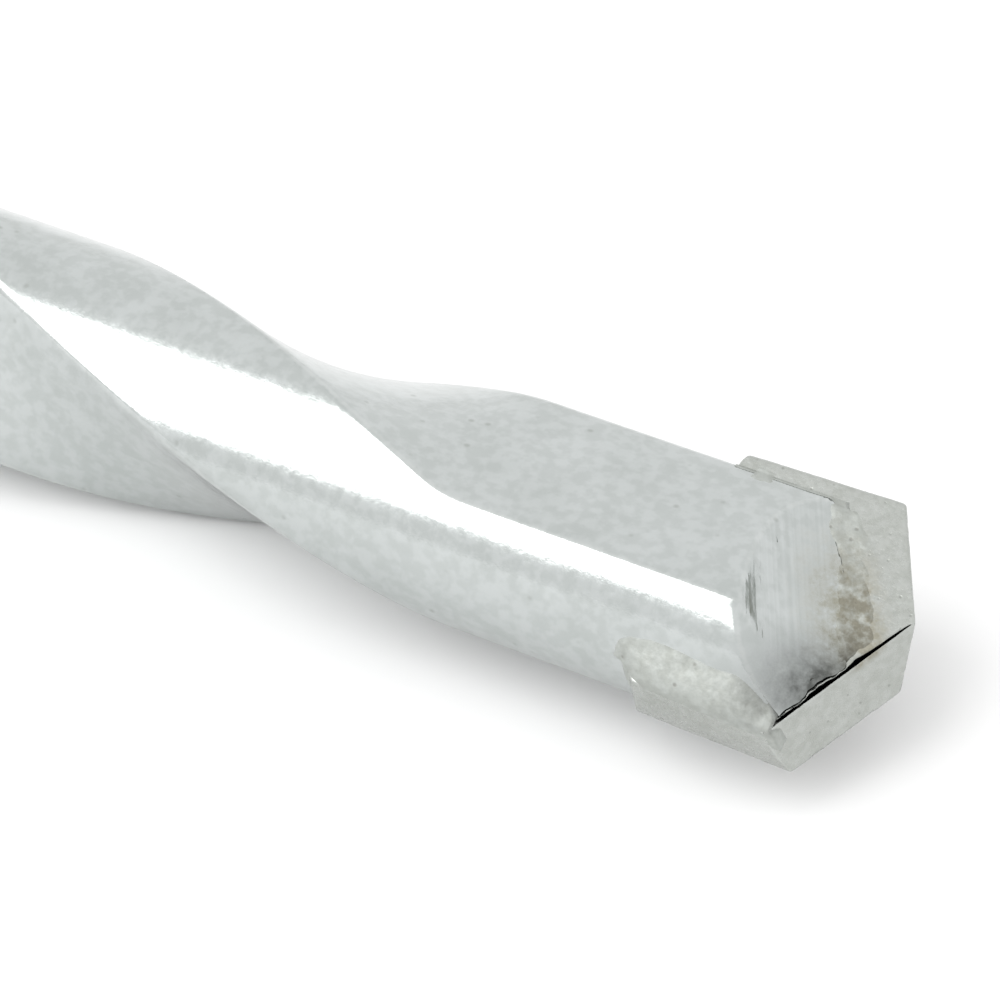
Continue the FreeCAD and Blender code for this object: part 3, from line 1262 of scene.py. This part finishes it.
@dataclass
class BrazeSeam:
    """The braze between the plate and the steel, with the skins that ran over its seams."""

    form: DrillForm
    thickness: float = 0.12 * MM
    film_setback: float = 0.25 * MM
    root_rows: int = 70
    root_columns: int = 36
    edge_rows: int = 56
    edge_columns: int = 28
    fillet_columns: int = 60
    fillet_steps: int = 70
    half_box: float = 4.955 * MM
    upper_seed: float = 0.0
    lower_seed: float = 60.0

    def build(self, source: bpy.types.Object, material: bpy.types.Material) -> bpy.types.Object:
        """Make the braze from its solid in the frame, and add its skins.

        Args:
            source: The braze's solid.
            material: Its finish.

        Returns:
            The braze.
        """
        bm = bmesh.new()
        bm.from_mesh(source.data)
        bmesh.ops.remove_doubles(bm, verts=bm.verts, dist=2e-6)
        # The film's front stays behind the open slit
        for vert in bm.verts:
            if vert.co.x > self.form.plate_back_x + 3 * MM:
                vert.co.x -= self.film_setback
        for turned in (False, True):
            seed = self.lower_seed if turned else self.upper_seed
            for skin in (self.root_skin(seed), self.edge_skin(seed), self.heel_fillet(seed)):
                if turned:
                    bmesh.ops.transform(skin, matrix=self.form.half_turn(), verts=skin.verts)
                part = mesh_from(skin, "skin")
                bm.from_mesh(part)
                bpy.data.meshes.remove(part)
        mesh = mesh_from(bm, BRAZE_NODE)
        mesh.materials.clear()
        mesh.materials.append(material)
        self.paint_masks(mesh)
        return new_object("braze_seam", mesh)

    def skin(self, rows: Sequence[Sequence[tuple[Vector, Vector, float]]]) -> bmesh.types.BMesh:
        """Thin lumpy skin laid over a surface.

        Args:
            rows: For each place its point on the surface, the surface's normal, and the skin's height.

        Returns:
            The closed skin.
        """
        upper = [[point + normal * height for point, normal, height in row] for row in rows]
        lower = [[point - normal * self.thickness for point, normal, _ in row] for row in rows]
        return slab(upper, lower)

    def lumps(self, first: float, second: float, seed: float) -> float:
        """Unevenness of the braze at two coordinates in millimetres."""
        coarse = noise.noise(Vector((first * 1.5, second * 1.5, seed + 5.0)))
        fine = noise.noise(Vector((first * 3.7, second * 3.7, seed + 9.0)))
        return (0.045 * coarse + 0.028 * fine) * MM

    def root_skin(self, seed: float) -> bmesh.types.BMesh:
        """Skin over the seam in the hollow of a gash.

        Args:
            seed: Where its unevenness starts.

        Returns:
            The skin.
        """
        form, crevice = self.form, HeelCrevice(self.form)
        rows = []
        gash = form.gash_radius / MM
        for row in range(self.root_rows + 1):
            across = -2.7 + 6.85 * row / self.root_rows
            far_x = crevice.far_x(across * MM, seed > 0) if across < 0.6 else form.apex_x
            to_heel = (form.root_x(across * MM) - far_x) / MM
            ends = eased((across + 2.65) / 0.5) * eased((4.15 - across) / 0.3)
            last = min(2.2, math.sqrt(gash * (4.25 - across)))
            first = max(-1.1, gash * math.asin(to_heel / gash) if to_heel > 0 else to_heel)
            middle = 0.42 + 0.16 * noise.noise(Vector((across * 0.8, seed, 1.0)))
            reach = 1.0 + 0.3 * noise.noise(Vector((across * 1.1, seed, 2.0)))
            places_in_row = []
            for column in range(self.root_columns + 1):
                along = first + 0.15 + (last - first - 0.15) * column / self.root_columns
                turn = max(0.0, along) * MM / form.gash_radius
                x = form.root_x(across * MM) - form.gash_radius * math.sin(turn)
                x += max(0.0, -along) * MM
                up = form.gash_radius * (1 - math.cos(turn))
                bulk = eased((reach - abs(along - middle)) / 0.6) * ends * eased((last - along) / 0.3)
                if across < 0.0:
                    bulk *= eased((along - first) / 0.35)
                height = (0.022 * MM + self.lumps(across, along, seed)) * bulk - 0.07 * MM * (1 - bulk)
                normal = Vector((math.sin(turn), 0.0, 0.0)) + form.forward * math.cos(turn)
                places_in_row.append((form.point(x, across * MM, form.plate_half + up), normal, height))
            rows.append(places_in_row)
        return self.skin(rows)

    def edge_skin(self, seed: float) -> bmesh.types.BMesh:
        """Skin over the seam between a flute and the plate's face, behind the gash.

        Args:
            seed: Where its unevenness starts.

        Returns:
            The skin.
        """
        form = self.form
        flute = form.direction(form.flute_angle)
        inward = form.direction(form.flute_angle + math.pi / 2)
        half_chord = form.body_radius * math.sin(form.flute_edge)
        corner = math.sqrt(form.body_radius ** 2 - form.plate_half ** 2)
        rows = []
        for row in range(self.edge_rows + 1):
            x = form.plate_back_x / MM + 0.3 + 1.65 * row / self.edge_rows
            reach = 0.62 + 0.35 * noise.noise(Vector((x * 0.9, seed, 3.0)))
            behind = x - form.plate_back_x / MM
            ends = eased((behind - 0.35) / 0.5) * eased((1.9 - behind) / 0.7)
            places_in_row = []
            for column in range(self.edge_columns + 1):
                out = -1.2 + 1.6 * column / self.edge_columns
                if out < 0:
                    chord = half_chord + out * MM
                    height = form.core_half + form.crown * (1 - (chord / half_chord) ** 2)
                    point = Vector((x * MM, 0.0, 0.0)) + flute * height - inward * chord
                else:
                    point = form.point(x * MM, corner + out * MM, form.plate_half)
                normal = flute.lerp(form.forward, eased((out + 0.25) / 0.5)).normalized()
                bulk = eased((reach - abs(out + 0.15)) / 0.4) * eased((0.38 - out) / 0.3) * ends
                rise = (0.02 * MM + self.lumps(x, out, seed + 20)) * bulk - 0.06 * MM * (1 - bulk)
                places_in_row.append((point, normal, rise))
            rows.append(places_in_row)
        return self.skin(rows)

    def heel_fillet(self, seed: float) -> bmesh.types.BMesh:
        """Fillet that flows from the land over the plate's edge behind its heel.

        Args:
            seed: Where its unevenness starts.

        Returns:
            The fillet.
        """
        form = self.form
        corner = math.asin(form.plate_half / form.tip_radius)
        first_x = form.plate_back_x - 1.0 * MM
        upper, lower = [], []
        for column in range(self.fillet_columns + 1):
            upper.append([])
            lower.append([])
            for step in range(self.fillet_steps + 1):
                share = step / self.fillet_steps
                lowest = 4.0 + 12.5 * eased(1 - (share - 0.10) * 14)
                turn = math.radians(lowest + (40.0 - lowest) * column / self.fillet_columns)
                last_x = self.fillet_end(turn, corner, seed)
                x = first_x + (last_x - 0.03 * MM - first_x) * share
                radius = self.fillet_radius(x, turn, corner, (first_x, last_x), seed)
                direction = form.across * -math.cos(turn) + form.forward * math.sin(turn)
                radius = min(radius, self.half_box / max(0.5, abs(direction.y)))
                upper[-1].append(Vector((x, 0.0, 0.0)) + direction * radius)
                inner = min(radius, form.body_radius) - self.thickness
                lower[-1].append(Vector((x, 0.0, 0.0)) + direction * inner)
        return slab(upper, lower)

    def fillet_end(self, turn: float, corner: float, seed: float) -> float:
        """Place along the axis where the fillet ends.

        Args:
            turn: Angle about the axis, from the plate's mid plane.
            corner: The angle of the plate's corner.
            seed: Where the unevenness starts.

        Returns:
            The place.
        """
        form = self.form
        ahead = form.tip_radius * math.sin(turn) - form.plate_half
        across = -form.body_radius * math.cos(turn)
        flank_x = form.heel_x(across) - form.relief_slope * ahead
        above = max(0.0, form.body_radius * math.sin(turn) - form.plate_half)
        bevel_x = min(form.heel_x(across) - form.bevel_slope * above,
                      HeelCrevice(form).far_x(across, seed > 0))
        over = eased((turn - corner + math.radians(1.5)) / math.radians(2.0))
        return flank_x + (bevel_x - flank_x) * over

    def fillet_radius(self, x: float, turn: float, corner: float, ends: tuple[float, float],
                      seed: float) -> float:
        """Distance of the fillet's surface from the axis.

        Args:
            x: Place along the axis.
            turn: Angle about the axis, from the plate's mid plane.
            corner: The angle of the plate's corner.
            ends: Where the fillet starts and ends along the axis.
            seed: Where the unevenness starts.

        Returns:
            The distance.
        """
        form, (first_x, last_x) = self.form, ends
        side = form.tip_radius - form.back_taper * (1 - form.side_share(x)) + 0.012 * MM
        onset = eased((x - first_x) / (1.7 * MM))
        if turn <= corner:
            under = (corner - turn) / math.radians(9.0)
            return form.body_radius + (side - form.body_radius - 0.05 * MM * under) * onset
        spread = math.radians(34.0 + 5.0 * noise.noise(Vector((x / MM * 0.5, seed, 4.0))))
        rough = self.lumps(x / MM, turn * 4.35 + 3.0, seed + 40)
        front = eased((last_x - x) / (1.1 * MM))
        front += (1.0 - front) * eased(1 - (turn - corner) / math.radians(9.0))
        climb = eased((spread - turn) / (spread - corner)) * onset * front
        radius = form.body_radius - 0.04 * MM + (side - form.body_radius + 0.04 * MM) * climb
        return radius + rough * min(1.0, climb * 3) * (1.0 - 0.6 * climb)

    def paint_masks(self, mesh: bpy.types.Mesh) -> None:
        """Store where the braze is stained, and where it is painted black beside the open crevice as
        soot and painted shade.

        Args:
            mesh: The braze's mesh.
        """
        stain, soot_and_shade = self.form.heat_marks(self.form.in_plate_frame(places(mesh)))
        paint(mesh, Attribute.STAIN, stain)
        paint(mesh, Attribute.SOOT_AND_SHADE, soot_and_shade)
        paint(mesh, Attribute.EDGE, np.zeros(len(stain)))


@dataclass(frozen=True)
class EffectGroups:
    """Shader node groups that more than one finish uses."""

    mottle: bpy.types.NodeTree
    wear: bpy.types.NodeTree
    marks: bpy.types.NodeTree

    @staticmethod
    def start(name: str, inputs: Sequence[tuple[str, str, object]],
              outputs: Sequence[tuple[str, str]]) -> tuple[bpy.types.NodeTree, Wiring]:
        """Begin a node group with named sockets.

        Args:
            name: The group's name.
            inputs: Name, socket type and first value of each input.
            outputs: Name and socket type of each output.

        Returns:
            The group and its wiring.
        """
        tree = bpy.data.node_groups.new(name, "ShaderNodeTree")
        for title, kind, value in inputs:
            tree.interface.new_socket(title, in_out="INPUT", socket_type=kind).default_value = value
        for title, kind in outputs:
            tree.interface.new_socket(title, in_out="OUTPUT", socket_type=kind)
        return tree, Wiring(tree)

    @classmethod
    def make(cls) -> "EffectGroups":
        """Build the groups.

        Returns:
            The groups.
        """
        return cls(mottle=cls.make_mottle(), wear=cls.make_wear(), marks=cls.make_marks())

    @classmethod
    def make_mottle(cls) -> bpy.types.NodeTree:
        """Blasted surface: clouds of tone, fine grain and small pits.

        Returns:
            The group.
        """
        number = "NodeSocketFloat"
        tree, w = cls.start(
            "blast_mottle",
            [("Cloud Scale", number, 0.5), ("Grain Scale", number, 5.0),
             ("Pit Scale", number, 2.5), ("Pit Share", number, 0.25)],
            [("Cloud", number), ("Blotch", number), ("Grain", number), ("Pits", number),
             ("Height", number)])
        given = w.node("NodeGroupInput").outputs
        mm = w.millimetres()
        cloud = w.ramp(w.noise(mm, given["Cloud Scale"], 4.0, 0.6), 0.32, 0.68)
        grain = w.ramp(w.noise(mm, given["Grain Scale"], 3.0, 0.6), 0.28, 0.72)
        blotch = w.ramp(w.noise(mm, w.math("MULTIPLY", given["Grain Scale"], 0.55), 2.0, 0.5),
                        0.38, 0.62, 0.0, 1.0, True)
        cells = w.node("ShaderNodeTexVoronoi", feature="F1")
        w.put(cells.inputs["Vector"], mm)
        w.put(cells.inputs["Scale"], given["Pit Scale"])
        colour = w.node("ShaderNodeSeparateColor")
        w.put(colour.inputs[0], cells.outputs["Color"])
        chosen = w.math("LESS_THAN", colour.outputs[0], given["Pit Share"])
        dip = w.ramp(cells.outputs["Distance"], 0.06, 0.26, 1.0, 0.0, True)
        pits = w.math("MULTIPLY", chosen, dip)
        height = w.math("SUBTRACT", w.math("ADD", w.math("MULTIPLY", grain, 0.5),
                                           w.math("MULTIPLY", cloud, 0.7)),
                        w.math("MULTIPLY", pits, 0.8))
        out = w.node("NodeGroupOutput")
        for socket, value in zip(out.inputs, (cloud, blotch, grain, pits, height)):
            w.put(socket, value)
        return tree

    @classmethod
    def make_marks(cls) -> bpy.types.NodeTree:
        """Fine lines of turning or grinding, square to a coordinate along the work.

        Returns:
            The group.
        """
        number = "NodeSocketFloat"
        tree, w = cls.start(
            "tool_marks", [("Along", number, 0.0), ("Mask", number, 0.0), ("Scale", number, 5.0)],
            [("Tone", number), ("Height", number)])
        given = w.node("NodeGroupInput").outputs
        lines = w.node("ShaderNodeTexNoise", noise_dimensions="1D")
        w.put(lines.inputs["W"], given["Along"])
        w.put(lines.inputs["Scale"], given["Scale"])
        lines.inputs["Detail"].default_value = 2.0
        tone = w.ramp(lines.outputs["Fac"], 0.3, 0.7)
        out = w.node("NodeGroupOutput")
        w.put(out.inputs[0], w.math("MULTIPLY", w.math("SUBTRACT", tone, 0.5), given["Mask"]))
        w.put(out.inputs[1], w.math("MULTIPLY", tone, given["Mask"]))
        return tree

    @classmethod
    def make_wear(cls) -> bpy.types.NodeTree:
        """Edge wear, stain, and soot with painted shade beside the crevice, broken up by noise.

        Returns:
            The group.
        """
        number = "NodeSocketFloat"
        tree, w = cls.start(
            "wear_and_stain",
            [("Edge", number, 0.0), ("Stain", number, 0.0), ("Soot And Shade", number, 0.0),
             ("Break Scale", number, 2.2)],
            [("Worn", number), ("Stained", number), ("Sooty And Shaded", number)])
        given = w.node("NodeGroupInput").outputs
        broken = w.noise(w.millimetres(), given["Break Scale"], 4.0, 0.65)
        worn = w.ramp(w.math("ADD", given["Edge"], w.math("MULTIPLY", broken, 0.8)), 0.85, 1.35)
        stained = w.ramp(w.math("MULTIPLY", given["Stain"],
                                w.math("ADD", w.math("MULTIPLY", broken, 3.4), -0.85)), 0.1, 0.95)
        # Soot with painted shade beside the open crevice
        sooty_and_shaded = w.ramp(w.math("MULTIPLY", given["Soot And Shade"],
                              w.math("ADD", w.math("MULTIPLY", broken, 1.9), 0.25)), 0.08, 1.35)
        out = w.node("NodeGroupOutput")
        for socket, value in zip(out.inputs, (worn, stained, sooty_and_shaded)):
            w.put(socket, value)
        return tree


@dataclass(frozen=True)
class MetalFinish:
    """A bare metal finish: blasted, mottled, stained and bright at its edges, with soot and painted
    shade beside the crevice and painted near-black shade on the crevice walls.
    """

    name: str
    light: tuple[float, float, float, float]
    dark: tuple[float, float, float, float]
    pit: tuple[float, float, float, float]
    stain: tuple[float, float, float, float]
    soot_and_shade: tuple[float, float, float, float]
    bright: tuple[float, float, float, float]
    rough_low: float
    rough_high: float
    cloud_scale: float
    grain_scale: float
    pit_scale: float
    pit_share: float
    bump: float
    bump_distance: float = 0.02 * MM
    # Near-black painted shade for the crevice walls
    crevice: tuple[float, float, float, float] = (0.006, 0.006, 0.006, 1)

    def make(self, groups: EffectGroups) -> bpy.types.Material:
        """Build the material.

        Args:
            groups: The shared effects.

        Returns:
            The material.
        """
        material = bpy.data.materials.new(self.name)
        material.use_nodes = True
        w = Wiring(material.node_tree)
        shader = material.node_tree.nodes["Principled BSDF"]
        shader.inputs["Metallic"].default_value = 1.0
        mottle = w.node("ShaderNodeGroup", node_tree=groups.mottle)
        mottle.inputs["Cloud Scale"].default_value = self.cloud_scale
        mottle.inputs["Grain Scale"].default_value = self.grain_scale
        mottle.inputs["Pit Scale"].default_value = self.pit_scale
        mottle.inputs["Pit Share"].default_value = self.pit_share
        wear = w.node("ShaderNodeGroup", node_tree=groups.wear)
        w.put(wear.inputs["Edge"], w.attribute(Attribute.EDGE))
        w.put(wear.inputs["Stain"], w.attribute(Attribute.STAIN))
        w.put(wear.inputs["Soot And Shade"], w.attribute(Attribute.SOOT_AND_SHADE))
        marks = w.node("ShaderNodeGroup", node_tree=groups.marks)
        w.put(marks.inputs["Along"], w.attribute(Attribute.ALONG))
        w.put(marks.inputs["Mask"], w.attribute(Attribute.MARKS))
        tone = w.math("ADD", w.math("MULTIPLY", mottle.outputs["Cloud"], 0.55),
                      w.math("MULTIPLY", mottle.outputs["Blotch"], 0.45))
        tone = w.math("ADD", tone, w.math("MULTIPLY", marks.outputs["Tone"], 0.5))
        colour = w.mix(tone, self.dark, self.light)
        colour = w.mix(w.math("MULTIPLY", mottle.outputs["Pits"], 0.7), colour, self.pit)
        colour = w.mix(w.math("MULTIPLY", wear.outputs["Worn"], 0.5), colour, self.bright)
        colour = w.mix(wear.outputs["Stained"], colour, self.stain)
        # Soot with painted shade darkens the metal beside the open crevice
        colour = w.mix(wear.outputs["Sooty And Shaded"], colour, self.soot_and_shade)
        # Painted shade: the crevice walls turn near black
        colour = w.mix(w.attribute(Attribute.CREVICE_SHADE), colour, self.crevice)
        w.put(shader.inputs["Base Color"], colour)
        rough = w.ramp(mottle.outputs["Grain"], 0.0, 1.0, self.rough_low, self.rough_high)
        rough = w.math("ADD", rough, w.math("MULTIPLY", wear.outputs["Stained"], 0.15))
        w.put(shader.inputs["Roughness"], rough)
        bump = w.node("ShaderNodeBump")
        bump.inputs["Strength"].default_value = self.bump
        bump.inputs["Distance"].default_value = self.bump_distance
        w.put(bump.inputs["Height"], w.math("ADD", mottle.outputs["Height"],
                                            w.math("MULTIPLY", marks.outputs["Height"], 0.6)))
        w.put(shader.inputs["Normal"], bump.outputs["Normal"])
        return material


# Each soot colour paints soot and shade beside the open crevice
STEEL = MetalFinish(
    name="blasted_steel", light=(0.52, 0.545, 0.54, 1), dark=(0.44, 0.465, 0.455, 1),
    pit=(0.34, 0.36, 0.34, 1), stain=(0.30, 0.295, 0.24, 1), soot_and_shade=(0.10, 0.105, 0.10, 1),
    bright=(0.58, 0.60, 0.59, 1), rough_low=0.13, rough_high=0.22, cloud_scale=0.55,
    grain_scale=4.0, pit_scale=1.6, pit_share=0.10, bump=0.28)
CARBIDE = MetalFinish(
    name="sintered_carbide", light=(0.44, 0.455, 0.435, 1), dark=(0.37, 0.385, 0.36, 1),
    pit=(0.26, 0.27, 0.25, 1), stain=(0.29, 0.28, 0.23, 1), soot_and_shade=(0.05, 0.05, 0.05, 1),
    bright=(0.52, 0.54, 0.52, 1), rough_low=0.22, rough_high=0.36, cloud_scale=0.9,
    grain_scale=6.0, pit_scale=3.2, pit_share=0.25, bump=0.45)
BRAZE = MetalFinish(
    name="stained_braze", light=(0.475, 0.495, 0.475, 1), dark=(0.385, 0.40, 0.375, 1),
    pit=(0.26, 0.26, 0.24, 1), stain=(0.30, 0.29, 0.24, 1), soot_and_shade=(0.07, 0.07, 0.065, 1),
    bright=(0.55, 0.57, 0.55, 1), rough_low=0.58, rough_high=0.74, cloud_scale=1.2,
    grain_scale=5.0, pit_scale=2.4, pit_share=0.25, bump=0.9)


@dataclass
class Studio:
    """The pale floor, the soft light and the camera."""

    floor_z: float = field(init=False)
    camera_place: Vector = field(default_factory=lambda: Vector((131.195, -89.123, 94.200)) * MM)
    camera_right: Vector = field(default_factory=lambda: Vector((0.88737, 0.46106, -0.00053)))
    camera_up: Vector = field(default_factory=lambda: Vector((-0.31393, 0.60504, 0.73169)))
    lens: float = 144.81
    floor_tone: float = 0.82
    floor_half: float = 3.0
    sky_strength: float = 1.18
    box_towards: Vector = field(default_factory=lambda: Vector((-0.437, -0.523, 0.731)))
    box_distance: float = 0.5
    box_size: tuple[float, float] = (0.40, 0.57)
    box_watts: float = 1.7
    box_diffuse: float = 0.02
    head_place: Vector = field(default_factory=lambda: Vector((0.085, 0.0, 0.0)))

    def __post_init__(self) -> None:
        """Stand the floor under the drill."""
        self.floor_z = CAD_BOX[0].z

    def build(self) -> None:
        """Make the floor, the lights, the world and the camera."""
        self.make_camera()
        self.make_floor()
        self.make_world()
        self.make_soft_box()
        bpy.context.scene.view_settings.view_transform = "Standard"

    def make_camera(self) -> None:
        """Place the camera where the photograph was taken from."""
        data = bpy.data.cameras.new("camera")
        data.lens = self.lens
        data.sensor_width = 36.0
        data.clip_start, data.clip_end = 0.005, 10.0
        camera = bpy.data.objects.new("camera", data)
        bpy.context.scene.collection.objects.link(camera)
        right, up = self.camera_right.normalized(), self.camera_up.normalized()
        back = right.cross(up)
        turn = Matrix((right, up, back)).transposed().to_4x4()
        camera.matrix_world = Matrix.Translation(self.camera_place) @ turn
        bpy.context.scene.camera = camera

    def make_floor(self) -> None:
        """Lay a wide pale floor."""
        bm = bmesh.new()
        bmesh.ops.create_grid(bm, x_segments=2, y_segments=2, size=self.floor_half)
        mesh = mesh_from(bm, "floor")
        mesh.transform(Matrix.Translation((0.0, 0.0, self.floor_z)))
        floor = new_object("floor", mesh)
        material = bpy.data.materials.new("pale_floor")
        material.use_nodes = True
        shader = material.node_tree.nodes["Principled BSDF"]
        shader.inputs["Base Color"].default_value = (*[self.floor_tone] * 3, 1)
        shader.inputs["Roughness"].default_value = 0.9
        shader.inputs["Specular IOR Level"].default_value = 0.1
        mesh.materials.append(material)

    def make_world(self) -> None:
        """Light the scene evenly from a pale sky."""
        world = bpy.data.worlds.new("studio")
        bpy.context.scene.world = world
        world.use_nodes = True
        background = world.node_tree.nodes["Background"]
        background.inputs["Color"].default_value = (1, 1, 1, 1)
        background.inputs["Strength"].default_value = self.sky_strength

    def make_soft_box(self) -> None:
        """Hang a soft box over the front of the drill, which faces its head."""
        data = bpy.data.lights.new("front_box", "AREA")
        data.shape = "RECTANGLE"
        data.size, data.size_y = self.box_size
        data.energy = self.box_watts
        data.diffuse_factor = self.box_diffuse
        lamp = bpy.data.objects.new("front_box", data)
        bpy.context.scene.collection.objects.link(lamp)
        facing = self.box_towards.normalized()
        width = (Vector((1.0, 0.0, 0.0)) - facing * facing.x).normalized()
        turn = Matrix((width, facing.cross(width), facing)).transposed()
        lamp.location = self.head_place + facing * self.box_distance
        lamp.rotation_mode = "QUATERNION"
        lamp.rotation_quaternion = turn.to_quaternion()


def report(piece: bpy.types.Object) -> None:
    """Log one finished piece.

    Args:
        piece: The piece.
    """
    faces = len(piece.data.polygons)
    size = ", ".join(f"{length / MM:.1f}" for length in piece.dimensions)
    LOG.info("%s: %d faces, %s mm", piece.name, faces, size)


def main() -> None:
    """Build the drill bit and its studio."""
    logging.basicConfig(level=logging.INFO, format="%(name)s %(message)s")
    form = DrillForm()
    groups = EffectGroups.make()
    steel = SteelBody(form).build(STEEL.make(groups))
    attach(steel, "root")
    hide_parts(STEEL_NODE)
    report(steel)
    plate = TipPlate(form).build(CARBIDE.make(groups))
    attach(plate, "root")
    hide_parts(PLATE_NODE)
    report(plate)
    braze = BrazeSeam(form).build(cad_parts[BRAZE_NODE], BRAZE.make(groups))
    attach(braze, "root")
    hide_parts(BRAZE_NODE)
    report(braze)
    Studio().build()


if __name__ == "__main__":
    main()
